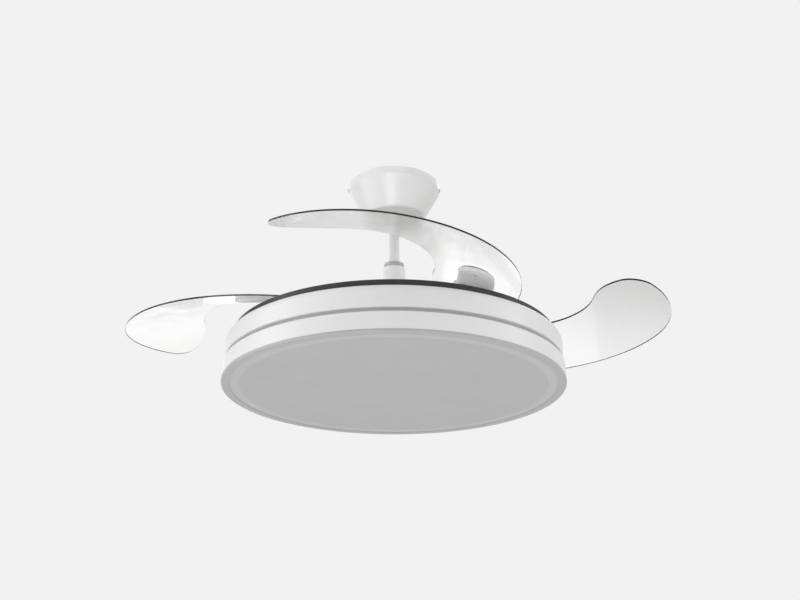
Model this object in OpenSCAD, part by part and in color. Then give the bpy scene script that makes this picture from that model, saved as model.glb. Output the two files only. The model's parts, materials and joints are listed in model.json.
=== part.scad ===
// Ceiling fan with a round lamp body and four clear blades that fold back over it.
// Millimetres. The origin is on the ceiling, in the middle of the bracket, and the fan hangs down.

/* [Body] */
// Widest diameter of the lamp body, at the trim ring
body_d = 500; // [490:2:520]
// How far the upper band stands in from the trim ring
shell_inset = 3.5; // [2:0.5:6]
// How far the body narrows over the rounded shoulder
shoulder_r = 8; // [4:0.5:12]
// Height of the lower band, under the groove
lower_band_h = 24.5; // [20:0.5:34]
// Height of the groove between the bands
groove_h = 6.8; // [3:0.2:8]
// Depth of the groove between the bands
groove_depth = 7; // [4:0.5:8]
// Wall of the two moulded bands
shell_wall = 1.8; // [1.2:0.1:3]
// Floor sheet of each band
floor_t = 2; // [1.5:0.1:3]

/* [Canopy] */
// Widest diameter of the canopy, at the ceiling
canopy_d = 139; // [138:1:170]
// Diameter of the canopy's lower end
canopy_base_d = 94; // [70:1:98]
// Height of the canopy
canopy_h = 55; // [52:1:75]
// Wall of the canopy
canopy_wall = 1.6; // [1:0.1:2.5]
// Height of the straight band under the ceiling
canopy_band_h = 12; // [9:0.5:14]
// Hole for the downrod
canopy_hole_d = 30; // [26:1:36]

/* [Ceiling bracket] */
// Sheet thickness of the bracket
bracket_t = 2; // [1.5:0.1:3]
// Width of the bracket's strap
bracket_w = 34; // [28:1:40]
// Distance between the two ceiling slots
slot_spacing = 90; // [80:1:96]
// Length of each slot, end to end
slot_len = 20; // [14:1:24]
// Width of each slot
slot_w = 5.5; // [4.5:0.1:7]
// Thickness of the seat that carries the ball
seat_t = 4; // [3:0.5:6]

/* [Hanger and downrod] */
// Diameter of the hanger ball
ball_d = 34; // [30:1:38]
// Depth of the ball's centre under the ceiling
ball_depth = 38; // [34:1:42]
// Height of the ball between its flats
ball_flats = 24; // [18:1:26]
// Diameter of the pin through ball and rod
ball_pin_d = 5; // [4:0.5:6]
// Outer diameter of the downrod
rod_d = 16; // [14:0.5:19]
// Wall of the downrod
rod_wall = 1.6; // [1.2:0.1:2.5]
// Length of the downrod
rod_len = 147; // [120:1:400]
// Outer diameter of the collar on the neck
collar_d = 30; // [22:0.5:32]
// Height of the collar on the neck
collar_h = 7.5; // [6:0.5:18]

/* [Neck] */
// Outer diameter of the neck cover
neck_d = 34.4; // [32:0.2:40]
// Wall of the neck cover
neck_wall = 1.3; // [1:0.1:2]
// Height of the neck cover
neck_len = 94; // [88:0.5:130]
// Outer diameter of the motor coupler
coupler_d = 24; // [22:0.5:27]
// Length of the motor coupler
coupler_len = 50; // [42:1:60]
// How far the downrod goes into the coupler
rod_insert = 30; // [24:1:34]
// Diameter of the coupler's cross bolt
cross_bolt_d = 5; // [4:0.5:6]

/* [Motor] */
// Diameter of the stator shaft
shaft_d = 17; // [15:0.5:19]
// Bore of the stator shaft, for the wires
shaft_bore_d = 10; // [8:0.5:11]
// Outer diameter of each ball bearing
bearing_d = 35; // [32:0.5:38]
// Width of each ball bearing
bearing_w = 10; // [9:0.5:11]
// Outer diameter of the rotor's drum
rotor_d = 136; // [130:1:144]
// Height of the rotor
rotor_h = 32.5; // [31:0.5:40]
// Sheet thickness of the rotor's shells
rotor_t = 3; // [2.5:0.1:4]
// Number of teeth on the stator
stator_teeth = 12; // [9:3:15]

/* [Blade tray] */
// Thickness of the tray's plate
tray_t = 2.5; // [2:0.1:4]
// Height of the tray's dark rim
tray_rim_h = 10; // [6:0.5:11]
// Gap between the rim and the body's lip
tray_gap = 2.5; // [1.5:0.1:4]

/* [Blades] */
// Inner radius of a folded blade
blade_ri = 107; // [104:0.5:112]
// Outer radius of a folded blade
blade_ro = 222; // [214:0.5:226]
// Thickness of the clear sheet
blade_t = 2.4; // [1.8:0.1:2.6]
// Slope of a blade across its width
blade_pitch = 15; // [12:0.5:17]
// Rise of a blade along its length
blade_tilt = 3; // [2.8:0.1:3.6]
// Height of a blade's middle over the tray's plate
blade_lift = 29; // [29:0.5:36]
// Turn of a blade from folded to open
open_deg = 73; // [60:1:76]
// Direction of the first blade's pivot
blade_az = 38; // [0:1:89]
// Radius of the blade's large outer tip curve
tip_outer_r = 164; // [150:1:170]
// Radius of the blade's inner tip curve
tip_inner_r = 190; // [170:1:210]
// Radius that rounds the blade's tip
tip_round_r = 25; // [15:1:35]

/* [Blade drive] */
// Module of the synchronising teeth
gear_m = 2.5; // [2.4:0.05:2.6]
// Thickness of the synchronising gear
gear_t = 6; // [5:0.25:6.5]
// Radius of the pivot pins
pin_r = 4; // [3.5:0.1:4.4]
// Outer radius of the pivot bushes
bush_r = 6; // [5.5:0.1:6.4]
// Thickness of the arm's pad under a blade
arm_t = 4; // [3:0.25:4.5]
// Thickness of the clamp on top of a blade
clamp_t = 1.6; // [1.2:0.1:2]

/* [Lamp] */
// Thickness of the opal diffuser
diffuser_t = 2.5; // [2:0.1:4]
// Height of the diffuser's turned-up edge
diffuser_edge_h = 7; // [5:0.5:10]
// Width of the trim ring's face
trim_w = 12; // [9:0.5:15]
// Radius of the lamp chassis
chassis_r = 226; // [200:1:228]
// Height from the lower floor to the chassis
post_h = 12.5; // [11:0.5:14]

/* [Hidden] */
$fn = 64;

// Clearances: press_gap between pieces that are pressed together, run_gap on a turning fit
press_gap = 0.02;
run_gap = 0.05;
free_gap = 0.3;
m4_r = 2;
m4_hole_r = 2.1;
m4_head_r = 3.6;
m4_head_h = 2;
m3_r = 1.5;
m3_head_r = 2.8;

// Ceiling bracket
strap_x = canopy_d / 2 - canopy_wall - 0.6;
tab_w = 14;
tab_h = canopy_band_h + 1;
canopy_screw_z = -canopy_band_h * 0.6;
leg_x = ball_d / 2 + 7;
seat_top = -ball_depth - 3;
seat_w = ball_d + 12;

// Downrod, coupler and neck, from the ball down
rod_r = rod_d / 2;
rod_top = -ball_depth + ball_flats / 2 + 2;
rod_bottom = rod_top - rod_len;
coupler_top = rod_bottom + rod_insert;
coupler_bottom = coupler_top - coupler_len;
neck_top = coupler_top + neck_wall;
neck_bottom = neck_top - neck_len;
neck_flare_h = 28;
neck_foot_r = neck_d / 2 + 10.3;
shaft_r = shaft_d / 2;
shaft_top = rod_bottom - 0.5;
shaft_collar_t = 4;
shaft_collar_r = neck_foot_r + 1.5;
cross_bolt_z = coupler_top - rod_insert / 2;
bolt_head_h = 2.4;
bolt_head_r = 3.9;

// Hub over the tray: room for the gear, its retainer and the screw heads
retainer_t = 2;
small_head_h = 1.6;
hub_gap = 5;
hub_room = gear_t + free_gap + retainer_t + small_head_h + hub_gap + 0.6;
plate_top = neck_bottom - shaft_collar_t - hub_room;
rim_top = plate_top + 0.5;

// Motor
rotor_top = plate_top - tray_t;
rotor_bottom = rotor_top - rotor_h;
lip_t = rotor_t / 2;
upper_bearing_top = rotor_top - lip_t;
lower_bearing_top = rotor_bottom + lip_t + bearing_w;
core_top = upper_bearing_top - bearing_w;
core_bottom = lower_bearing_top;
core_h = core_top - core_bottom;
bearing_r = bearing_d / 2;
bearing_ring_w = (bearing_r - shaft_r) / 3;
bearing_mid_r = (bearing_r + shaft_r) / 2;
ball_bearing_r = bearing_ring_w * 0.8;
bearing_hub_r = bearing_r + 3.5;
rotor_r = rotor_d / 2;
rotor_flange_r = rotor_r + 10;
magnet_t = 4;
air_gap = 1;
stator_r = rotor_r - rotor_t - magnet_t - air_gap;
tooth_w = 6;
tooth_head_t = 4;
yoke_r = stator_r / 2;
coil_w = 13;
coil_over = 4;
lamp_gap = 2;
rotor_screw_r = rotor_r + 5;
rotor_screw_n = 6;

// Lamp plate and the floors under it
shoulder_d = shaft_d + 4;
stud_r = shaft_r - 0.5;
plate_z = rotor_bottom - lamp_gap;
lamp_plate_t = 2.5;
lamp_plate_r = 105;
plate_hole_n = 6;
plate_hole_at = 60;
plate_hole_r = 16;
nut_h = 6;
upper_floor_z = plate_z - lamp_plate_t;
lower_floor_z = upper_floor_z - floor_t;
lower_floor_bottom = lower_floor_z - floor_t;
floor_hole_r = 84;
lamp_screw_r = 95;
lamp_screw_n = 6;
shaft_bottom = upper_floor_z - nut_h - 2;

// Outer bands
body_r = body_d / 2;
band_r = body_r - shell_inset;
lip_z = rim_top - tray_rim_h;
lip_r = band_r - shoulder_r;
rim_r = lip_r - tray_gap;
lip_turn = 1.5;
groove_r = band_r - groove_depth;
groove_bottom = lower_floor_z - groove_h;
band_bottom = groove_bottom - lower_band_h;
trim_t = 4;
trim_bottom = band_bottom - trim_t;
lower_in_r = body_r - 0.5 - shell_wall;

// Trim ring and diffuser, held by a quarter-turn catch
catch_t = 2;
trim_up_r = lower_in_r - 2.2;
trim_up_h = 12;
catch_n = 4;
catch_deg = 8;
trim_in_r = body_r - trim_w;
ledge_w = 4;
lip_low_t = 1;
diffuser_r = trim_in_r + ledge_w - free_gap;

// Chassis and light board
chassis_t = 1.5;
chassis_top = lower_floor_bottom - post_h;
chassis_z = chassis_top - chassis_t;
post_r = 4;
post_ring_r = 205;
post_n = 6;
post_az = 90 / post_n;
post_screw_l = 8;
board_t = 1.2;
board_in_r = 110;
board_out_r = 190;
emitter_size = 3;
emitter_h = 1;
emitter_in_r = 130;
emitter_out_r = 170;
emitter_in_n = 24;
emitter_out_n = 36;
wire_hole_r = 12;
driver_l = 120;
driver_w = 50;
driver_h = 10;
driver_y = 130;

// Blade drive. Each blade has its own frame, with its pivot on +X and its folded place clockwise of it.
blade_n = 4;
ring_teeth = 22 * blade_n;
sector_teeth = 40;
ring_pr = gear_m * ring_teeth / 2;
sector_pr = gear_m * sector_teeth / 2;
pivot_r = ring_pr + sector_pr;
addendum = 0.9 * gear_m;
dedendum = 1.2 * gear_m;
backlash = 0.25;
pressure = 20;
boss_r = 45;
boss_in_r = 34;
retainer_screw_r = (boss_r + boss_in_r) / 2;
retainer_screw_n = 4;
retainer_r = boss_r + 7;
gear_bottom = plate_top;
gear_top = gear_bottom + gear_t;
retainer_z = gear_top + free_gap;
arm_bottom = plate_top + free_gap;
sector_t = gear_t - 0.4;
hub_disc_r = 23;
hub_r = bush_r + 2.2;
bush_h = gear_t + 7.2;
hub_top = plate_top + bush_h - 0.5;
spring_wire = 0.8;
spring_turns = 3;
spring_r = hub_r + free_gap + spring_wire;
tray_leg = 28;
arm_leg = 19;
nut_flange_h = 1.3;
nut_r = 6.2;
pivot_nut_h = 4;
pin_head_r = 8;
pin_head_h = 2;
foot_from = 5.5;
foot_to = 12;
foot_in_r = 136;
foot_out_r = pivot_r + spring_r - spring_wire + 0.5;
pad_to = 26;
pad_in_r = 138;
pad_out_r = 186;
pad_mid_r = (pad_in_r + pad_out_r) / 2;
stop_r = 4;
stop_h = 8.5;
stop_deg = 9;
stop_gap = 0.5;
blade_mid_r = (blade_ri + blade_ro) / 2;
blade_mid_z = plate_top + blade_lift;
tilt_az = 90;
tip_outer_from = 91;
tip_inner_from = 110;
root_az = 10;
screw_spots = [[149, 14], [175, 14], [162, 27]];
blade_screw_r = 1.5;
blade_head_r = 3;
blade_head_h = 1.4;
zone_rise = 60;
zone_drop = 80;
zone_margin = 25;
zone_top = blade_mid_z + zone_rise;

function polar(r, a) = [r * cos(a), r * sin(a)];
function cone_z(r) = blade_mid_z + (blade_mid_r - r) * tan(blade_pitch);
function inv(a) = tan(a) - a * PI / 180;
// Half of a tooth's width, as an angle, at radius r of a gear with n teeth
function half_tooth(r, n) =
    let(pr = gear_m * n / 2, base = pr * cos(pressure))
    (PI / (2 * n) + inv(pressure) - inv(acos(min(1, base / r))) - backlash / (2 * pr)) * 180 / PI;
function tooth_radii(n) =
    let(pr = gear_m * n / 2)
    [pr - dedendum, pr - dedendum / 2, pr, pr + addendum / 2, pr + addendum];
// Outline of one tooth centred on angle a, from one root to the other
function tooth(n, a) = concat(
    [for (r = tooth_radii(n)) polar(r, a - half_tooth(r, n))],
    [for (i = [4:-1:0]) let(r = tooth_radii(n)[i]) polar(r, a + half_tooth(r, n))]);
function arc(c, r, from, to, n) = [for (i = [0:n]) c + polar(r, from + (to - from) * i / n)];
function bearing(v) = (atan2(v[1], v[0]) + 360) % 360;
// Where two circles meet, on the left seen from the first centre to the second
function meeting(c1, r1, c2, r2) =
    let(d = norm(c2 - c1), u = (c2 - c1) / d, x = (r1 * r1 - r2 * r2 + d * d) / (2 * d))
    c1 + x * u + sqrt(r1 * r1 - x * x) * [-u[1], u[0]];
function flatten(l) = [for (a = l) for (b = a) b];

// Turns its children by 360/n steps
module ring_of(n, start = 0) {
    for (i = [0:n - 1]) rotate([0, 0, start + i * 360 / n]) children();
}
module tube(r_out, r_in, z, h) {
    translate([0, 0, z]) difference() {
        cylinder(r = r_out, h = h);
        translate([0, 0, -1]) cylinder(r = r_in, h = h + 2);
    }
}
// A pie slice of the plane between two angles less than 180 degrees apart
module wedge(a_from, a_to) {
    mid = (a_from + a_to) / 2;
    polygon([[0, 0], polar(body_d, a_from), polar(1.5 * body_d, mid), polar(body_d, a_to)]);
}
module pan_screw(shank_r, shank_l, head_r, head_h) {
    translate([0, 0, -shank_l]) cylinder(r = shank_r, h = shank_l);
    cylinder(r = head_r, h = head_h);
}

// ---- Ceiling side ----
module ceiling_bracket() {
    color("silver") difference() {
        union() {
            intersection() {
                translate([-strap_x, -bracket_w / 2, -bracket_t]) cube([2 * strap_x, bracket_w, bracket_t]);
                translate([0, 0, -bracket_t]) cylinder(r = strap_x, h = bracket_t);
            }
            for (s = [-1, 1]) {
                translate([s * (strap_x - bracket_t / 2 - 0.4) - bracket_t / 2, -tab_w / 2, -tab_h])
                    cube([bracket_t, tab_w, tab_h]);
                translate([s * (leg_x + bracket_t / 2) - bracket_t / 2, -bracket_w / 2, seat_top - seat_t])
                    cube([bracket_t, bracket_w, -(seat_top - seat_t)]);
            }
            translate([-leg_x - bracket_t, -seat_w / 2, seat_top - seat_t])
                cube([2 * (leg_x + bracket_t), seat_w, seat_t]);
        }
        translate([0, 0, -ball_depth]) sphere(r = ball_d / 2 + run_gap);
        // Way in for the rod, from the front
        translate([-rod_r - 1, -seat_w, seat_top - seat_t - 1]) cube([rod_d + 2, seat_w, seat_t + 2]);
        for (s = [-1, 1]) translate([s * slot_spacing / 2, 0, -bracket_t - 1]) slot_cut();
        for (s = [-1, 1]) rotate([0, s * 90, 0]) translate([s * -canopy_screw_z, 0, strap_x - 6])
            cylinder(r = m4_r, h = 8);
    }
}
module slot_cut() {
    half = (slot_len - slot_w) / 2;
    for (s = [-1, 1]) translate([s * half, 0, 0]) cylinder(r = slot_w / 2, h = bracket_t + 2);
    translate([-half, -slot_w / 2, 0]) cube([2 * half, slot_w, bracket_t + 2]);
}
module canopy() {
    top_r = canopy_d / 2;
    base_r = canopy_base_d / 2;
    w = canopy_wall;
    color("whitesmoke") difference() {
        rotate_extrude() polygon([
            [canopy_hole_d / 2, -canopy_h], [base_r - 2, -canopy_h], [base_r, -canopy_h + 1.5],
            [top_r, -canopy_band_h], [top_r, -1], [top_r - 0.8, 0], [top_r - w, 0],
            [top_r - w, -canopy_band_h - 0.3], [base_r - w, -canopy_h + 1.8],
            [base_r - w - 0.6, -canopy_h + w], [canopy_hole_d / 2, -canopy_h + w]]);
        for (s = [-1, 1]) rotate([0, s * 90, 0]) translate([s * -canopy_screw_z, 0, strap_x - 4])
            cylinder(r = m4_hole_r + 0.1, h = 12);
    }
}
module canopy_screws() {
    color("silver") for (s = [-1, 1]) rotate([0, s * 90, 0])
        translate([s * -canopy_screw_z, 0, canopy_d / 2]) pan_screw(m4_r - 0.05, canopy_wall + 5, 3.2, 1.6);
}
module terminal_block() {
    color("ivory") translate([leg_x + bracket_t, -15, -26]) difference() {
        cube([10, 30, 18]);
        for (i = [0:2]) translate([5, 5 + i * 10, 9]) {
            cylinder(r = 2, h = 10);
            rotate([0, 90, 0]) cylinder(r = 1.6, h = 6);
        }
    }
}
module receiver_box() {
    color("dimgray") translate([-leg_x - bracket_t - 12, -17, -34]) cube([12, 34, 24]);
}

// ---- Hanging side: rod, neck and coupler ----
module hanger_ball() {
    color("gainsboro") translate([0, 0, -ball_depth]) difference() {
        intersection() {
            sphere(r = ball_d / 2);
            translate([0, 0, -ball_flats / 2]) cylinder(r = ball_d, h = ball_flats);
        }
        translate([0, 0, -ball_d]) cylinder(r = rod_r + press_gap, h = 2 * ball_d);
        translate([-ball_d, 0, 0]) rotate([0, 90, 0]) cylinder(r = ball_pin_d / 2, h = 2 * ball_d);
    }
}
module ball_pin() {
    pin_len = ball_d - 4;
    color("silver") translate([-pin_len / 2, 0, -ball_depth]) rotate([0, 90, 0])
        cylinder(r = ball_pin_d / 2 - press_gap, h = pin_len);
}
module downrod() {
    color("white") difference() {
        tube(rod_r, rod_r - rod_wall, rod_bottom, rod_len);
        for (z = [-ball_depth, cross_bolt_z]) translate([-rod_d, 0, z]) rotate([0, 90, 0])
            cylinder(r = (z == cross_bolt_z ? cross_bolt_d : ball_pin_d) / 2, h = 2 * rod_d);
    }
}
module rod_collar() {
    color("darkgray") difference() {
        tube(collar_d / 2, rod_r + press_gap, neck_top, collar_h);
        ring_of(2) translate([0, 0, neck_top + collar_h / 2]) rotate([0, 90, 0])
            cylinder(r = m3_r, h = collar_d);
    }
}
module neck_cover() {
    r = neck_d / 2;
    w = neck_wall;
    color("white") rotate_extrude() polygon([
        [rod_r + 0.4, coupler_top], [r - w, coupler_top], [r - w, neck_bottom + neck_flare_h],
        [neck_foot_r - w, neck_bottom], [neck_foot_r, neck_bottom], [r, neck_bottom + neck_flare_h],
        [r, neck_top - 1], [r - 1, neck_top], [rod_r + 0.4, neck_top]]);
}
module motor_coupler() {
    color("silver") difference() {
        translate([0, 0, coupler_bottom]) cylinder(r = coupler_d / 2, h = coupler_len);
        translate([0, 0, rod_bottom]) cylinder(r = rod_r + press_gap, h = coupler_len);
        translate([0, 0, coupler_bottom - 1])
            cylinder(r = shaft_r + press_gap, h = rod_bottom - coupler_bottom + 1);
        translate([-coupler_d, 0, cross_bolt_z]) rotate([0, 90, 0])
            cylinder(r = cross_bolt_d / 2, h = 2 * coupler_d);
    }
}
module coupler_bolt() {
    r = cross_bolt_d / 2 - press_gap;
    color("gray") translate([0, 0, cross_bolt_z]) rotate([0, 90, 0]) {
        translate([0, 0, -coupler_d / 2]) cylinder(r = r, h = coupler_d + bolt_head_h);
        translate([0, 0, -coupler_d / 2 - bolt_head_h]) cylinder(r = bolt_head_r, h = bolt_head_h);
        translate([0, 0, coupler_d / 2]) difference() {
            cylinder(r = bolt_head_r, h = bolt_head_h, $fn = 6);
            translate([0, 0, -1]) cylinder(r = r + press_gap, h = bolt_head_h + 2);
        }
    }
}

// ---- Stator ----
module stator_shaft() {
    color("silver") difference() {
        union() {
            translate([0, 0, plate_z]) cylinder(r = shaft_r, h = shaft_top - plate_z);
            translate([0, 0, plate_z])
                cylinder(r = shoulder_d / 2, h = lower_bearing_top - bearing_w - plate_z);
            translate([0, 0, shaft_bottom]) cylinder(r = stud_r, h = plate_z - shaft_bottom);
        }
        translate([0, 0, shaft_bottom - 1]) cylinder(r = shaft_bore_d / 2, h = shaft_top - shaft_bottom + 2);
    }
}
module shaft_collar() {
    color("silver") tube(shaft_collar_r, shaft_r + press_gap, neck_bottom - shaft_collar_t, shaft_collar_t);
}
module shaft_nut() {
    color("gray") translate([0, 0, upper_floor_z - nut_h]) difference() {
        cylinder(r = 14, h = nut_h, $fn = 6);
        translate([0, 0, -1]) cylinder(r = stud_r + press_gap, h = nut_h + 2);
    }
}
module stator_core() {
    color("slategray") translate([0, 0, core_bottom]) linear_extrude(height = core_h) difference() {
        union() {
            circle(r = yoke_r);
            ring_of(stator_teeth) translate([0, -tooth_w / 2]) square([stator_r - 1, tooth_w]);
            intersection() {
                difference() {
                    circle(r = stator_r);
                    circle(r = stator_r - tooth_head_t);
                }
                ring_of(stator_teeth) wedge(-150 / stator_teeth, 150 / stator_teeth);
            }
        }
        circle(r = shaft_r + press_gap);
    }
}
module stator_windings() {
    coil_from = yoke_r + 2;
    coil_len = stator_r - tooth_head_t - 1.5 - coil_from;
    color("peru") ring_of(stator_teeth) difference() {
        translate([coil_from, -coil_w / 2, core_bottom - coil_over])
            cube([coil_len, coil_w, core_h + 2 * coil_over]);
        translate([coil_from - 1, -tooth_w / 2 - press_gap, core_bottom - press_gap])
            cube([coil_len + 2, tooth_w + 2 * press_gap, core_h + 2 * press_gap]);
    }
}
module bearing_groove(top) {
    translate([0, 0, top - bearing_w / 2]) rotate_extrude() translate([bearing_mid_r, 0])
        circle(r = ball_bearing_r + run_gap);
}
module bearing_inner_rings() {
    color("silver") for (top = [upper_bearing_top, lower_bearing_top]) difference() {
        tube(shaft_r + bearing_ring_w, shaft_r + press_gap, top - bearing_w, bearing_w);
        bearing_groove(top);
    }
}
module bearing_balls() {
    color("lightgray") for (top = [upper_bearing_top, lower_bearing_top]) ring_of(9)
        translate([bearing_mid_r, 0, top - bearing_w / 2]) sphere(r = ball_bearing_r);
}

// ---- Lamp body ----
module lamp_plate() {
    color("silver") difference() {
        tube(lamp_plate_r, stud_r + press_gap, upper_floor_z, lamp_plate_t);
        ring_of(lamp_screw_n) translate([lamp_screw_r, 0, upper_floor_z - 1])
            cylinder(r = m4_r, h = lamp_plate_t + 2);
        ring_of(plate_hole_n, 30) translate([plate_hole_at, 0, upper_floor_z - 1])
            cylinder(r = plate_hole_r, h = lamp_plate_t + 2);
    }
}
module lamp_screws() {
    color("silver") {
        ring_of(lamp_screw_n) translate([lamp_screw_r, 0, lower_floor_bottom]) mirror([0, 0, 1])
            pan_screw(m4_r - press_gap, plate_z - lower_floor_bottom - 0.2, m4_head_r, m4_head_h);
        ring_of(post_n, post_az) translate([post_ring_r, 0, chassis_z]) mirror([0, 0, 1])
            pan_screw(m4_r - press_gap, post_screw_l, m4_head_r, m4_head_h);
    }
}
module upper_body_shell() {
    w = shell_wall;
    k = shoulder_r;
    arc = [for (i = [1:5]) [band_r - k + k * cos(i * 18), lip_z - k + k * sin(i * 18)]];
    arc_in = [for (i = [5:-1:1]) [band_r - k + (k - w) * cos(i * 18), lip_z - k + (k - w) * sin(i * 18)]];
    color("white") difference() {
        rotate_extrude($fn = 128) polygon(concat(
            [[floor_hole_r, lower_floor_z], [band_r - 1, lower_floor_z], [band_r, lower_floor_z + 1],
            [band_r, lip_z - k]], arc, [[lip_r - lip_turn, lip_z], [lip_r - lip_turn, lip_z - w]],
            arc_in, [[band_r - w, lip_z - k], [band_r - w, upper_floor_z], [floor_hole_r, upper_floor_z]]));
        ring_of(lamp_screw_n) translate([lamp_screw_r, 0, lower_floor_z - 1])
            cylinder(r = m4_hole_r, h = floor_t + 2);
    }
}
module lower_lamp_housing() {
    w = shell_wall;
    color("white") difference() {
        union() {
            rotate_extrude($fn = 128) polygon([
                [floor_hole_r, lower_floor_z], [groove_r, lower_floor_z], [groove_r, groove_bottom],
                [body_r - 2, groove_bottom], [body_r - 1, groove_bottom - 1], [body_r - 0.5, band_bottom],
                [lower_in_r, band_bottom], [body_r - 1 - w, groove_bottom - w],
                [groove_r - w, groove_bottom - w], [groove_r - w, lower_floor_bottom],
                [floor_hole_r, lower_floor_bottom]]);
            ring_of(post_n, post_az) translate([post_ring_r, 0, chassis_top])
                cylinder(r = post_r, h = post_h + 1);
            ring_of(catch_n) housing_catch();
        }
        ring_of(lamp_screw_n) translate([lamp_screw_r, 0, lower_floor_bottom - 1])
            cylinder(r = m4_hole_r, h = floor_t + 2);
        ring_of(post_n, post_az) translate([post_ring_r, 0, chassis_top - 1])
            cylinder(r = m4_r, h = post_screw_l + 1);
    }
}
// A ledge on the housing's wall that the trim ring's lug rests on
module housing_catch() {
    rotate([0, 0, -catch_deg / 2]) rotate_extrude(angle = catch_deg, $fn = 128)
        translate([trim_up_r + 0.5, trim_bottom + trim_up_h - 2 * catch_t])
            square([lower_in_r + 0.4 - trim_up_r - 0.5, catch_t]);
}
module trim_ring() {
    color("gainsboro") union() {
        rotate_extrude($fn = 128) polygon([
            [trim_in_r, trim_bottom], [body_r - 1, trim_bottom], [body_r, trim_bottom + 1],
            [body_r, band_bottom - free_gap], [trim_up_r, band_bottom - free_gap],
            [trim_up_r, trim_bottom + trim_up_h], [trim_up_r - 1.8, trim_bottom + trim_up_h],
            [trim_up_r - 1.8, trim_bottom + trim_t], [trim_in_r + ledge_w, trim_bottom + trim_t],
            [trim_in_r + ledge_w, trim_bottom + lip_low_t], [trim_in_r, trim_bottom + lip_low_t]]);
        ring_of(catch_n) rotate([0, 0, -catch_deg / 2]) rotate_extrude(angle = catch_deg, $fn = 128)
            translate([trim_up_r - 1, trim_bottom + trim_up_h - catch_t]) square([2.7, catch_t]);
    }
}
module diffuser() {
    z = trim_bottom + lip_low_t;
    color("lightgray") rotate_extrude($fn = 128) polygon([
        [0, z], [diffuser_r - 1, z], [diffuser_r, z + 1], [diffuser_r, z + diffuser_edge_h],
        [diffuser_r - diffuser_t, z + diffuser_edge_h], [diffuser_r - diffuser_t, z + diffuser_t + 1],
        [diffuser_r - diffuser_t - 1, z + diffuser_t], [0, z + diffuser_t]]);
}
module lamp_chassis() {
    color("silver") difference() {
        tube(chassis_r, wire_hole_r, chassis_z, chassis_t);
        ring_of(post_n, post_az) translate([post_ring_r, 0, chassis_z - 1])
            cylinder(r = m4_hole_r, h = chassis_t + 2);
    }
}
module light_board() {
    color("white") tube(board_out_r, board_in_r, chassis_z - board_t, board_t);
}
module light_emitters() {
    color("khaki") {
        ring_of(emitter_in_n) emitter_at(emitter_in_r);
        ring_of(emitter_out_n) emitter_at(emitter_out_r);
    }
}
module emitter_at(r) {
    translate([r - emitter_size / 2, -emitter_size / 2, chassis_z - board_t - emitter_h])
        cube([emitter_size, emitter_size, emitter_h]);
}
module lamp_driver() {
    color("white") translate([-driver_l / 2, driver_y - driver_w / 2, chassis_top])
        cube([driver_l, driver_w, driver_h]);
}

// ---- Rotor ----
module blade_tray() {
    color("dimgray") difference() {
        union() {
            rotate_extrude($fn = 128) polygon([
                [boss_in_r, rotor_top], [rim_r - 3, rotor_top], [rim_r - 3, rim_top - tray_rim_h],
                [rim_r, rim_top - tray_rim_h], [rim_r, rim_top - 1], [rim_r - 1, rim_top],
                [rim_r - 3, rim_top], [rim_r - 3, plate_top], [boss_r, plate_top],
                [boss_r, gear_top + free_gap], [boss_in_r, gear_top + free_gap]]);
        }
        ring_of(blade_n, blade_az) translate([pivot_r, 0, rotor_top - 1])
            cylinder(r = pin_r + press_gap, h = tray_t + 2);
        ring_of(rotor_screw_n) translate([rotor_screw_r, 0, rotor_top - 1])
            cylinder(r = m4_r, h = tray_t + 0.5);
        ring_of(retainer_screw_n) translate([retainer_screw_r, 0, retainer_z - 6]) cylinder(r = m3_r, h = 8);
    }
}
module rotor_upper_shell() {
    color("gray") difference() {
        union() {
            translate([0, 0, rotor_top - rotor_t]) cylinder(r = rotor_flange_r, h = rotor_t);
            translate([0, 0, core_top + 1]) cylinder(r = bearing_hub_r, h = rotor_top - core_top - 1);
        }
        translate([0, 0, core_top - 1]) cylinder(r = bearing_r + press_gap, h = bearing_w + 1);
        translate([0, 0, core_top - 1]) cylinder(r = shaft_r + 4, h = rotor_h);
        ring_of(rotor_screw_n) translate([rotor_screw_r, 0, rotor_top - rotor_t - 1])
            cylinder(r = m4_hole_r, h = rotor_t + 2);
    }
}
module rotor_lower_shell() {
    color("gray") difference() {
        union() {
            translate([0, 0, rotor_bottom]) cylinder(r = rotor_r, h = rotor_h - rotor_t);
            translate([0, 0, rotor_top - 2 * rotor_t]) cylinder(r = rotor_flange_r, h = rotor_t);
        }
        difference() {
            translate([0, 0, rotor_bottom + rotor_t]) cylinder(r = rotor_r - rotor_t, h = rotor_h);
            translate([0, 0, rotor_bottom]) cylinder(r = bearing_hub_r, h = core_bottom - rotor_bottom - 1);
        }
        translate([0, 0, rotor_bottom + lip_t]) cylinder(r = bearing_r + press_gap, h = rotor_h);
        translate([0, 0, rotor_bottom - 1]) cylinder(r = shaft_r + 4, h = rotor_h);
        ring_of(rotor_screw_n) translate([rotor_screw_r, 0, rotor_top - 2 * rotor_t - 1])
            cylinder(r = m4_hole_r, h = rotor_t + 2);
    }
}
module magnet_ring() {
    color("darkslategray") tube(rotor_r - rotor_t - press_gap, rotor_r - rotor_t - magnet_t,
        core_bottom - coil_over, core_h + 2 * coil_over);
}
module bearing_outer_rings() {
    color("silver") for (top = [upper_bearing_top, lower_bearing_top]) difference() {
        tube(bearing_r, bearing_r - bearing_ring_w, top - bearing_w, bearing_w);
        bearing_groove(top);
    }
}
module rotor_screws() {
    color("silver") ring_of(rotor_screw_n) translate([rotor_screw_r, 0, rotor_top - 2 * rotor_t])
        mirror([0, 0, 1]) pan_screw(m4_r - press_gap, 2 * rotor_t + tray_t - 0.8, m4_head_r, m4_head_h);
}
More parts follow.
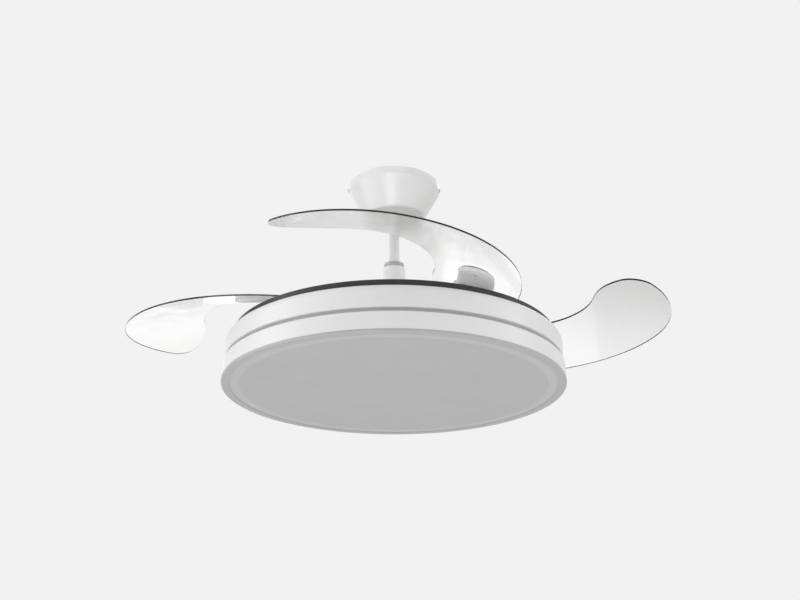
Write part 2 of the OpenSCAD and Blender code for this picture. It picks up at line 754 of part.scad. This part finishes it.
module pivot_pins() {
    pin_top = plate_top + bush_h + nut_flange_h + pivot_nut_h + 0.5;
    color("silver") ring_of(blade_n, blade_az) translate([pivot_r, 0, 0]) {
        translate([0, 0, rotor_top]) cylinder(r = pin_r, h = pin_top - rotor_top);
        translate([0, 0, rotor_top - pin_head_h]) cylinder(r = pin_head_r, h = pin_head_h);
    }
}
module pivot_bushes() {
    color("goldenrod") ring_of(blade_n, blade_az) translate([pivot_r, 0, 0])
        tube(bush_r, pin_r + press_gap, plate_top, bush_h);
}
module pivot_nuts() {
    color("gray") ring_of(blade_n, blade_az) translate([pivot_r, 0, plate_top + bush_h]) difference() {
        union() {
            cylinder(r = hub_r + 0.6, h = nut_flange_h);
            translate([0, 0, nut_flange_h]) cylinder(r = nut_r, h = pivot_nut_h, $fn = 6);
        }
        translate([0, 0, -1]) cylinder(r = pin_r + press_gap, h = nut_flange_h + pivot_nut_h + 2);
    }
}
module stop_posts() {
    color("black") for (i = [1:blade_n]) at_blade(i) opened() rotate([0, 0, -stop_deg])
        translate([foot_out_r + stop_gap + stop_r, 0, plate_top]) cylinder(r = stop_r, h = stop_h);
}
module gear_retainer() {
    color("silver") difference() {
        tube(retainer_r, boss_in_r, retainer_z, retainer_t);
        ring_of(retainer_screw_n) translate([retainer_screw_r, 0, retainer_z - 1])
            cylinder(r = m3_r + 0.1, h = retainer_t + 2);
    }
}
module retainer_screws() {
    color("gray") ring_of(retainer_screw_n) translate([retainer_screw_r, 0, retainer_z + retainer_t])
        pan_screw(m3_r - press_gap, retainer_t + 5.5, m3_head_r, small_head_h);
}
module sync_gear() {
    color("ivory") translate([0, 0, gear_bottom]) linear_extrude(height = gear_t) rotate([0, 0, blade_az])
        difference() {
            polygon(flatten([for (i = [0:ring_teeth - 1]) tooth(ring_teeth, i * 360 / ring_teeth)]));
            circle(r = boss_r + run_gap);
            ring_of(8, 22.5) translate([(boss_r + ring_pr) / 2 + 1, 0]) circle(r = 16);
        }
}

// ---- Blades ----
// Places a folded-frame child at blade i, in its open place
module at_blade(i) {
    rotate([0, 0, blade_az - (i - 1) * 360 / blade_n]) children();
}
module opened() {
    translate([pivot_r, 0, 0]) rotate([0, 0, open_deg]) translate([-pivot_r, 0, 0]) children();
}
// The plan shapes below are drawn counter-clockwise and mirrored, because the blade lies clockwise
module tilted() {
    translate([0, 0, blade_mid_z]) rotate(a = -blade_tilt, v = [cos(tilt_az), -sin(tilt_az), 0])
        translate([0, 0, -blade_mid_z]) children();
}
module blade_zone(low, high) {
    r1 = blade_ri - zone_margin;
    r2 = blade_ro + zone_margin;
    lo = low / cos(blade_pitch);
    hi = high / cos(blade_pitch);
    tilted() rotate([0, 0, 90]) rotate_extrude($fn = 128) polygon([
        [r1, cone_z(r1) + lo], [r2, cone_z(r2) + lo], [r2, cone_z(r2) + hi], [r1, cone_z(r1) + hi]]);
}
// Outline of a blade: round root, outer and inner rims, and two curves that meet in the rounded tip
module blade_outline() {
    root_r = (blade_ro - blade_ri) / 2;
    outer_c = polar(blade_ro - tip_outer_r, tip_outer_from);
    inner_c = polar(blade_ri + tip_inner_r, tip_inner_from);
    tip_c = meeting(outer_c, tip_outer_r - tip_round_r, inner_c, tip_inner_r - tip_round_r);
    outer_to = bearing(tip_c - outer_c);
    inner_to = bearing(tip_c - inner_c);
    mirror([0, 1]) polygon(concat(
        arc(polar(blade_mid_r, root_az), root_r, root_az + 180, root_az + 360, 18),
        arc([0, 0], blade_ro, root_az + 4.5, tip_outer_from, 17),
        arc(outer_c, tip_outer_r, tip_outer_from + 5, outer_to, 12),
        arc(tip_c, tip_round_r, outer_to + 12, inner_to - 12, 7),
        arc(inner_c, tip_inner_r, inner_to, tip_inner_from + 180, 8),
        arc([0, 0], blade_ri, tip_inner_from - 6, root_az + 6, 16)));
}
module tall(z_from, z_to) {
    translate([0, 0, z_from]) linear_extrude(height = z_to - z_from) children();
}
module pad_outline(inset = 0) {
    mirror([0, 1]) union() {
        intersection() {
            difference() {
                circle(r = pad_out_r - inset);
                circle(r = pad_in_r + inset);
            }
            wedge(foot_from + inset * 0.3, pad_to);
        }
        translate(polar(pad_mid_r, pad_to)) circle(r = (pad_out_r - pad_in_r) / 2 - inset);
    }
}
// Puts a child on the blade's lower face, square to it
module on_blade(spot) {
    tilted() rotate([0, 0, -spot[1]]) translate([spot[0], 0, cone_z(spot[0])]) rotate([0, blade_pitch, 0])
        children();
}
module blade_holes(r) {
    for (s = screw_spots) on_blade(s) translate([0, 0, -arm_t - 3]) cylinder(r = r, h = arm_t + 12);
}
module blade(i) {
    color("white", 0.35) at_blade(i) opened() difference() {
        intersection() {
            tall(plate_top, zone_top) blade_outline();
            blade_zone(0, blade_t);
        }
        blade_holes(blade_screw_r + 0.2);
    }
}
module sector_2d() {
    first = -2;
    last = 9;
    step = 360 / sector_teeth;
    root_r = sector_pr - dedendum;
    rotate(180) union() {
        polygon(concat([[0, 0]], flatten([for (k = [first:last]) tooth(sector_teeth, (k + 0.5) * step)])));
        circle(r = hub_disc_r);
        intersection() {
            circle(r = root_r);
            wedge((first + 0.5) * step - 3, (last + 0.5) * step + 3);
        }
    }
}
module blade_arm(i) {
    color("silver") at_blade(i) difference() {
        union() {
            translate([pivot_r, 0, 0]) tall(arm_bottom, arm_bottom + sector_t) sector_2d();
            opened() {
                translate([pivot_r, 0, arm_bottom]) cylinder(r = hub_disc_r, h = sector_t);
                translate([pivot_r, 0, arm_bottom]) cylinder(r = hub_r, h = hub_top - arm_bottom);
                intersection() {
                    tall(arm_bottom, zone_top) foot_outline();
                    blade_zone(-zone_drop, 0);
                }
                intersection() {
                    tall(arm_bottom, zone_top) pad_outline();
                    blade_zone(-arm_t, 0);
                }
            }
        }
        translate([pivot_r, 0, arm_bottom - 1]) cylinder(r = bush_r + run_gap, h = hub_top - arm_bottom + 2);
        opened() blade_holes(blade_screw_r);
    }
}
module foot_outline() {
    mirror([0, 1]) intersection() {
        difference() {
            circle(r = foot_out_r);
            circle(r = foot_in_r);
        }
        wedge(foot_from, foot_to);
    }
}
// Closed-wound springs that turn the arms back. One leg stands on the tray, the other lies on the arm.
module return_springs() {
    w = spring_wire;
    coil_z = arm_bottom + sector_t + w + free_gap;
    pitch = 1.8 * w;
    top = (spring_turns - 1) * pitch;
    color("gray") for (i = [1:blade_n]) at_blade(i) translate([pivot_r, 0, coil_z]) {
        for (t = [0:spring_turns - 1]) translate([0, 0, t * pitch]) rotate_extrude()
            translate([spring_r, 0]) circle(r = w, $fn = 24);
        translate([spring_r, 0, 0]) rotate([-90, 0, 0]) cylinder(r = w, h = tray_leg, $fn = 24);
        translate([spring_r, tray_leg, plate_top - coil_z]) cylinder(r = w, h = coil_z - plate_top, $fn = 24);
        translate([spring_r, tray_leg, 0]) sphere(r = w, $fn = 24);
        rotate([0, 0, open_deg]) translate([spring_r, 0, top]) rotate([90, 0, 0])
            cylinder(r = w, h = arm_leg, $fn = 24);
    }
}
module blade_clamp(i) {
    color("silver") at_blade(i) opened() {
        difference() {
            intersection() {
                tall(plate_top, zone_top) pad_outline(3);
                blade_zone(blade_t, blade_t + clamp_t);
            }
            blade_holes(blade_screw_r + 0.2);
        }
    }
}
module blade_screws(i) {
    color("silver") at_blade(i) opened() for (s = screw_spots) on_blade(s)
        translate([0, 0, blade_t + clamp_t])
            pan_screw(blade_screw_r - press_gap, blade_t + clamp_t + arm_t - 0.5, blade_head_r, blade_head_h);
}

ceiling_bracket();
canopy();
canopy_screws();
terminal_block();
receiver_box();
hanger_ball();
ball_pin();
downrod();
rod_collar();
neck_cover();
motor_coupler();
coupler_bolt();
stator_shaft();
shaft_collar();
shaft_nut();
stator_core();
stator_windings();
bearing_inner_rings();
bearing_balls();
lamp_plate();
lamp_screws();
upper_body_shell();
lower_lamp_housing();
lamp_chassis();
light_board();
light_emitters();
lamp_driver();
trim_ring();
diffuser();
blade_tray();
rotor_upper_shell();
rotor_lower_shell();
magnet_ring();
bearing_outer_rings();
rotor_screws();
pivot_pins();
pivot_bushes();
pivot_nuts();
return_springs();
stop_posts();
gear_retainer();
retainer_screws();
sync_gear();
blade_arm(1);  // blade_arm_1
blade_arm(2);  // blade_arm_2
blade_arm(3);  // blade_arm_3
blade_arm(4);  // blade_arm_4
blade(1);  // blade_1
blade(2);  // blade_2
blade(3);  // blade_3
blade(4);  // blade_4
blade_clamp(1);  // blade_clamp_1
blade_clamp(2);  // blade_clamp_2
blade_clamp(3);  // blade_clamp_3
blade_clamp(4);  // blade_clamp_4
blade_screws(1);  // blade_screws_1
blade_screws(2);  // blade_screws_2
blade_screws(3);  // blade_screws_3
blade_screws(4);  // blade_screws_4
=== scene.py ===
"""Looks of the ceiling fan: a finish for every piece, studio light and the photograph's view."""

import json
import math

import bpy
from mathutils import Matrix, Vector

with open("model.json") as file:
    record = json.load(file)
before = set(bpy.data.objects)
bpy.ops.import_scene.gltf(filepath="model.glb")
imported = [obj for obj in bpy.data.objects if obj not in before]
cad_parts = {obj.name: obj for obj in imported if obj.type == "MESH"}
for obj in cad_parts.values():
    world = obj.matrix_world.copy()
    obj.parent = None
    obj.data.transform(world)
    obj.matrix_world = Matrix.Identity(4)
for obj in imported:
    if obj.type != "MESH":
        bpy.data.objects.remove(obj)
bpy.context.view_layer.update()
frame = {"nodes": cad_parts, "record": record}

# ---- Camera and surroundings, in metres unless named otherwise ----
CAMERA_AT = (0.0089, -1.674, -0.847)
CAMERA_PITCH = math.radians(111.44)
LENS_MM = 54
SENSOR_MM = 36
VIEW_FAR = 60
FLOOR_Z = -2.4
FLOOR_SIZE = 200.0
BACKDROP = 0.885  # grey that the camera, mirrors and clear sheet see
AMBIENT = 0.72  # grey that lights the fan from all sides

# ---- Places on the fan where a colour changes ----
GROOVE_Z = -0.2981  # middle of the groove between the two bands
GROOVE_HALF = 0.0034
GROOVE_FADE = 0.0004
BORDER_FROM_R = 0.2225  # the diffuser's border starts, and has its full colour
BORDER_FULL_R = 0.226
PLATE_TO_R = 0.2325  # the tray's plate ends, and its dark rim starts
RIM_FROM_R = 0.233
TIP_AZ = 30  # degrees before the X axis where a blade's quarter turn starts, by its tip
TIP_GREY_TO = 0.1  # shares of that quarter turn: greyer up to the first, clear from the second
CLEAR_FROM = 0.55
EDGE_TO = 0.35  # upright part of the normal: cut edge up to the first, face from the second
FACE_FROM = 0.6

# ---- Colours used more than once, and how they vary ----
BAND_WHITE = (0.83, 0.83, 0.825)
BAND_VARY = 0.012
# Painted shade: the groove's recess is coloured this darker grey
GROOVE_PAINTED_SHADE = (0.6, 0.6, 0.595)
GROOVE_VARY = 0.02
OPAL = (0.5, 0.5, 0.5)
# Painted highlight: the diffuser's border is coloured paler where a lit edge would catch the light
OPAL_PAINTED_HIGHLIGHT = (0.555, 0.555, 0.555)
OPAL_VARY = 0.015
OPAL_CLOUD = 6.0
CLOUD_SCALE = 14.0
CLOUD_DETAIL = 4.0
GLOSS_DETAIL = 3.0
GRAIN_DETAIL = 2.0
NOISE_LOW = 0.3  # the part of a noise's range that is used
NOISE_HIGH = 0.7
GLOSS_SCALE = 4  # patches of gloss are this much finer than the clouds of colour
GLOSS_LOW = 0.85
GLOSS_HIGH = 1.2

# ---- Colour sockets of Blender's Mix node ----
MIX_FIRST = 6
MIX_SECOND = 7
MIX_RESULT = 2

# ---- Lamps: place, aim, size, watts, spread in degrees, and seen through clear sheet ----
FAN_MIDDLE = (0, 0, -0.25)
CANOPY = (0, 0, -0.02)
WIDE = 180
NARROW = 14
LAMPS = {
    "key_left": ((-2.5, -0.5, -0.1), FAN_MIDDLE, (1.4, 1.4), 17, WIDE, False),
    "key_right": ((2.5, -0.5, -0.1), FAN_MIDDLE, (1.4, 1.4), 10, WIDE, False),
    "fill_low": ((-0.3, -1.3, -1.9), FAN_MIDDLE, (1.6, 1.0), 8, WIDE, False),
    "canopy_front": ((-0.2, -1.1, -0.5), CANOPY, (0.15, 0.15), 0.03, NARROW, False),
    "top_back": ((0.2, 1.4, 1.2), FAN_MIDDLE, (2.0, 1.2), 9, WIDE, False),
    "soft_left": ((-0.7, 1.4, 0.3), FAN_MIDDLE, (0.75, 0.6), 0.6, WIDE, True),
    "soft_right": ((0.34, 1.4, 0.36), FAN_MIDDLE, (0.4, 0.5), 0.05, WIDE, True),
    "soft_near": ((0.24, 1.4, 0.5), FAN_MIDDLE, (0.24, 0.24), 0.025, WIDE, True),
}


# ---- Node helpers ----
def mix_colors(tree, factor, first, second):
    """A Mix node between two colours, each a tuple or another node's output."""
    node = tree.nodes.new("ShaderNodeMix")
    node.data_type = "RGBA"
    tree.links.new(factor, node.inputs["Factor"])
    for socket, value in ((node.inputs[MIX_FIRST], first), (node.inputs[MIX_SECOND], second)):
        if isinstance(value, tuple):
            socket.default_value = (*value, 1)
        else:
            tree.links.new(value, socket)
    return node.outputs[MIX_RESULT]


def shade(color, factor):
    return tuple(min(1.0, c * factor) for c in color)


class Shader:
    """A material's node tree, with short calls for the nodes that the finishes use."""

    def __init__(self, name):
        self.material = bpy.data.materials.new(name)
        self.material.use_nodes = True
        self.tree = self.material.node_tree
        self.bsdf = self.tree.nodes["Principled BSDF"]
        self.coords = self.tree.nodes.new("ShaderNodeTexCoord").outputs["Object"]

    def link(self, source, target):
        self.tree.links.new(source, target)

    def put(self, **values):
        """Sets the shader's own sockets: an underscore stands for a space."""
        for key, value in values.items():
            self.bsdf.inputs[key.replace("_", " ")].default_value = value

    def color(self, source):
        self.link(source, self.bsdf.inputs["Base Color"])

    def roughness(self, source):
        self.link(source, self.bsdf.inputs["Roughness"])

    def bump(self, height, strength, distance):
        node = self.tree.nodes.new("ShaderNodeBump")
        node.inputs["Strength"].default_value = strength
        node.inputs["Distance"].default_value = distance
        self.link(height, node.inputs["Height"])
        self.link(node.outputs["Normal"], self.bsdf.inputs["Normal"])

    def stretched(self, scale):
        mapping = self.tree.nodes.new("ShaderNodeMapping")
        mapping.inputs["Scale"].default_value = scale
        self.link(self.coords, mapping.inputs["Vector"])
        return mapping.outputs["Vector"]

    def noise(self, scale, detail=GLOSS_DETAIL, stretch=(1, 1, 1)):
        node = self.tree.nodes.new("ShaderNodeTexNoise")
        node.inputs["Scale"].default_value = scale
        node.inputs["Detail"].default_value = detail
        self.link(self.stretched(stretch), node.inputs["Vector"])
        return node.outputs["Fac"]

    def spread(self, value, low, high, from_low=NOISE_LOW, from_high=NOISE_HIGH):
        """Takes from_low and from_high to low and high, and holds what lies outside them."""
        node = self.tree.nodes.new("ShaderNodeMapRange")
        node.inputs["From Min"].default_value = from_low
        node.inputs["From Max"].default_value = from_high
        node.inputs["To Min"].default_value = low
        node.inputs["To Max"].default_value = high
        self.link(value, node.inputs["Value"])
        return node.outputs["Result"]

    def math(self, operation, first, second=0.0):
        node = self.tree.nodes.new("ShaderNodeMath")
        node.operation = operation
        for socket, value in zip(node.inputs, (first, second)):
            if isinstance(value, (int, float)):
                socket.default_value = value
            else:
                self.link(value, socket)
        return node.outputs["Value"]

    def blend(self, factor, first, second):
        return mix_colors(self.tree, factor, first, second)

    def clouds(self, first, second, scale=CLOUD_SCALE, detail=CLOUD_DETAIL):
        """Soft patches of two colours."""
        return self.blend(self.spread(self.noise(scale, detail), 0, 1), first, second)

    def clouded(self, color, vary, scale=CLOUD_SCALE):
        """One colour in slightly darker and lighter patches."""
        return self.clouds(shade(color, 1 - vary), shade(color, 1 + vary), scale)

    def split(self, vector):
        node = self.tree.nodes.new("ShaderNodeSeparateXYZ")
        self.link(vector, node.inputs["Vector"])
        return node.outputs

    def height(self):
        """Level in metres, at rest: the ceiling is 0."""
        return self.split(self.coords)["Z"]

    def radius(self):
        """Distance from the fan's axis, at rest."""
        node = self.tree.nodes.new("ShaderNodeVectorMath")
        node.operation = "LENGTH"
        self.link(self.stretched((1, 1, 0)), node.inputs[0])
        return node.outputs["Value"]

    def upright(self):
        """How far the surface faces straight up or down: 0 on a wall, 1 on a flat top."""
        geometry = self.tree.nodes.new("ShaderNodeNewGeometry")
        return self.math("ABSOLUTE", self.split(geometry.outputs["True Normal"])["Z"])

    def toward_root(self):
        """0 at each blade's tip and 1 at its root, from the direction round the fan's axis."""
        place = self.split(self.coords)
        angle = self.math("ARCTAN2", place["Y"], place["X"])
        # A full turn more, so that the remainder below is never negative
        turned = self.math("ADD", angle, math.radians(360 + TIP_AZ))
        quarter = math.pi / 2
        return self.math("DIVIDE", self.math("MODULO", turned, quarter), quarter)


# ---- Finishes ----
def finish(name, color, rough, vary=0.04, cloud=CLOUD_SCALE, grain=900, bump=0.05,
           depth=0.0002, stretch=(1, 1, 1), **sockets):
    """A surface with clouded colour, uneven gloss and a fine grain.

    color is a tuple, or a function that makes the colour from the shader.
    """
    s = Shader(name)
    if callable(color):
        s.color(color(s))
    else:
        s.color(s.clouded(color, vary, cloud))
    gloss = s.noise(cloud * GLOSS_SCALE, GLOSS_DETAIL, stretch)
    s.roughness(s.spread(gloss, rough * GLOSS_LOW, rough * GLOSS_HIGH))
    if bump:
        s.bump(s.noise(grain, GRAIN_DETAIL, stretch), bump, depth)
    s.put(**sockets)
    return s


def band_color(s):
    """White, with a greyer line in the groove between the two bands, painted there as shade in the
    recess.
    """
    off_groove = s.math("ABSOLUTE", s.math("SUBTRACT", s.height(), GROOVE_Z))
    on_band = s.spread(off_groove, 0, 1, GROOVE_HALF - GROOVE_FADE, GROOVE_HALF)
    # Painted shade for the groove's recess
    grey = s.clouded(GROOVE_PAINTED_SHADE, GROOVE_VARY)
    white = s.clouded(BAND_WHITE, BAND_VARY)
    return s.blend(on_band, grey, white)


def opal_color(s):
    """A little paler along the border: a painted highlight."""
    middle = s.clouded(OPAL, OPAL_VARY, OPAL_CLOUD)
    # Painted highlight along the border
    border = s.clouded(OPAL_PAINTED_HIGHLIGHT, OPAL_VARY, OPAL_CLOUD)
    return s.blend(s.spread(s.radius(), 0, 1, BORDER_FROM_R, BORDER_FULL_R), middle, border)


def tray_color(s):
    """Dark rim round a paler pressed plate."""
    plate = s.clouds((0.72, 0.72, 0.72), (0.76, 0.76, 0.76))
    rim = s.clouds((0.022, 0.022, 0.023), (0.034, 0.034, 0.035), 30.0, 3.0)
    return s.blend(s.spread(s.radius(), 0, 1, PLATE_TO_R, RIM_FROM_R), plate, rim)


def arm_white(name):
    """Glass-filled nylon: matt, with short pale fibres in the skin."""
    s = finish(name, (0.9, 0.9, 0.89), 0.45, vary=0.03, cloud=40, bump=0,
               Subsurface_Weight=0.9, Subsurface_Radius=(1, 1, 1), Subsurface_Scale=0.02)
    s.bump(s.noise(420, GRAIN_DETAIL, (1, 0.15, 1)), 0.15, 0.0002)
    return s


def iron_core(name):
    """Stacked laminations: fine level lines round the core."""
    s = finish(name, (0.1, 0.105, 0.115), 0.5, vary=0.1, bump=0, Metallic=0.8)
    s.bump(s.noise(1400, 1.0, (0.02, 0.02, 1)), 0.5, 0.0003)
    return s


def copper_wire(name):
    """Enamelled wire laid in turns across each coil."""
    s = finish(name, (0.5, 0.2, 0.07), 0.3, vary=0.12, bump=0, Metallic=0.9)
    wave = s.tree.nodes.new("ShaderNodeTexWave")
    wave.wave_type = "RINGS"
    wave.rings_direction = "Z"
    wave.inputs["Scale"].default_value = 320
    wave.inputs["Distortion"].default_value = 0.6
    s.link(s.coords, wave.inputs["Vector"])
    s.bump(wave.outputs["Fac"], 0.6, 0.0004)
    return s


def clear_sheet(name):
    """Clear moulded sheet, a little greyer towards the tips, with a cut edge coloured near black as
    painted shade for the dark look that refraction gives it.
    """
    s = Shader(name)
    clear = s.clouds((0.985, 0.985, 0.985), (0.998, 0.998, 0.998), 9.0, 3.0)
    # Greyer towards the tips
    tip_grey = s.clouds((0.74, 0.735, 0.73), (0.78, 0.775, 0.77), 9.0, 3.0)
    sheet = s.blend(s.spread(s.toward_root(), 0, 1, TIP_GREY_TO, CLEAR_FROM), tip_grey, clear)
    # Painted shade: cut edges are coloured near black in place of the darkness that refraction
    # gives a clear edge
    on_face = s.spread(s.upright(), 0, 1, EDGE_TO, FACE_FROM)
    s.color(s.blend(on_face, (0.1, 0.097, 0.094), sheet))
    s.roughness(s.spread(s.noise(40.0), 0.06, 0.12))
    s.bump(s.noise(22.0, GRAIN_DETAIL), 0.08, 0.0003)
    s.put(Transmission_Weight=1.0, IOR=1.3, Specular_IOR_Level=0.3)
    return s


BRUSHED = dict(vary=0.06, grain=1600, bump=0.12, depth=0.0001, stretch=(1, 1, 0.04), Metallic=1.0)
PLAIN = {
    "white_paint": dict(color=(0.73, 0.73, 0.725), rough=0.34, vary=0.012, grain=700, bump=0.03,
                        Coat_Weight=0.25, Coat_Roughness=0.18),
    "white_plastic": dict(color=(0.8, 0.8, 0.79), rough=0.3, vary=0.015, grain=1200, bump=0.03),
    "white_shell": dict(color=band_color, rough=0.36, grain=900, bump=0.03,
                        Coat_Weight=0.2, Coat_Roughness=0.2),
    "trim_grey": dict(color=(0.47, 0.47, 0.47), rough=0.38, vary=0.02, grain=800, bump=0.03),
    "opal": dict(color=opal_color, rough=0.55, cloud=OPAL_CLOUD, grain=1500, bump=0.04,
                 Subsurface_Weight=0.1, Subsurface_Radius=(0.004, 0.004, 0.004)),
    "steel_plain": dict(color=(0.6, 0.61, 0.62), rough=0.32, **BRUSHED),
    "steel_dark": dict(color=(0.4, 0.4, 0.4), rough=0.38, **BRUSHED),
    "rod_steel": dict(color=(0.68, 0.69, 0.7), rough=0.16, **BRUSHED),
    "bronze": dict(color=(0.5, 0.34, 0.16), rough=0.36, **BRUSHED),
    "cast_alloy": dict(color=(0.56, 0.57, 0.58), rough=0.46, vary=0.06, cloud=60, grain=1400,
                       bump=0.25, Metallic=1.0),
    "tray_grey": dict(color=tray_color, rough=0.42, grain=1100, bump=0.08),
    "grey_rubber": dict(color=(0.55, 0.55, 0.55), rough=0.75, vary=0.06, cloud=60, grain=2000,
                        bump=0.2),
    "dark_plastic": dict(color=(0.03, 0.03, 0.033), rough=0.5, vary=0.1, grain=1800, bump=0.12),
    "gear_plastic": dict(color=(0.68, 0.66, 0.6), rough=0.42, vary=0.03, cloud=30, grain=1500,
                         bump=0.06),
    "board_white": dict(color=(0.72, 0.73, 0.72), rough=0.35, vary=0.03, cloud=50, grain=1500,
                        bump=0.05),
    "emitter_yellow": dict(color=(0.8, 0.6, 0.12), rough=0.3, vary=0.05, cloud=300, grain=2500,
                           bump=0.05),
}
SPECIAL = {f.__name__: f for f in (arm_white, iron_core, copper_wire, clear_sheet)}


def dress_nodes():
    """Gives every node the finish of its slot in the record."""
    made = {}
    for part in frame["record"]["subparts"]:
        slot = part["material_slot"]
        if slot not in made:
            shader = SPECIAL[slot](slot) if slot in SPECIAL else finish(slot, **PLAIN[slot])
            made[slot] = shader.material
        obj = frame["nodes"][part["node"]]
        obj.data.materials.clear()
        obj.data.materials.append(made[slot])


# ---- Studio ----
def add_camera():
    data = bpy.data.cameras.new("camera")
    data.lens = LENS_MM
    data.sensor_width = SENSOR_MM
    data.clip_end = VIEW_FAR
    camera = bpy.data.objects.new("camera", data)
    camera.location = CAMERA_AT
    camera.rotation_euler = (CAMERA_PITCH, 0, 0)
    bpy.context.collection.objects.link(camera)
    bpy.context.scene.camera = camera


def seen_factor(tree):
    """1 for rays from the camera, mirror rays and rays through clear sheet, else 0."""
    path = tree.nodes.new("ShaderNodeLightPath")
    total = path.outputs["Is Camera Ray"]
    for name in ("Is Glossy Ray", "Is Transmission Ray"):
        node = tree.nodes.new("ShaderNodeMath")
        node.operation = "MAXIMUM"
        tree.links.new(total, node.inputs[0])
        tree.links.new(path.outputs[name], node.inputs[1])
        total = node.outputs["Value"]
    return total


def add_world():
    world = bpy.data.worlds.new("studio")
    world.use_nodes = True
    tree = world.node_tree
    background = tree.nodes["Background"]
    color = mix_colors(tree, seen_factor(tree), (AMBIENT,) * 3, (BACKDROP,) * 3)
    tree.links.new(color, background.inputs["Color"])
    background.inputs["Strength"].default_value = 1.0
    bpy.context.scene.world = world


def add_floor():
    bpy.ops.mesh.primitive_plane_add(size=FLOOR_SIZE, location=(0, 0, FLOOR_Z))
    floor = bpy.context.object
    floor.name = "floor"
    pale = finish("floor_pale", (0.88, 0.88, 0.88), 0.7, vary=0.01, cloud=1.5, grain=200, bump=0.02)
    floor.data.materials.append(pale.material)


def add_lamp(name, at, toward, size, watts, spread, through):
    data = bpy.data.lights.new(name, "AREA")
    data.shape = "RECTANGLE"
    data.size, data.size_y = size
    data.energy = watts
    data.spread = math.radians(spread)
    lamp = bpy.data.objects.new(name, data)
    lamp.location = at
    lamp.rotation_euler = (Vector(toward) - Vector(at)).to_track_quat("-Z", "Y").to_euler()
    lamp.visible_transmission = through
    bpy.context.collection.objects.link(lamp)


dress_nodes()
add_camera()
add_world()
add_floor()
for lamp_name, settings in LAMPS.items():
    add_lamp(lamp_name, *settings)
bpy.context.scene.view_settings.view_transform = "Standard"
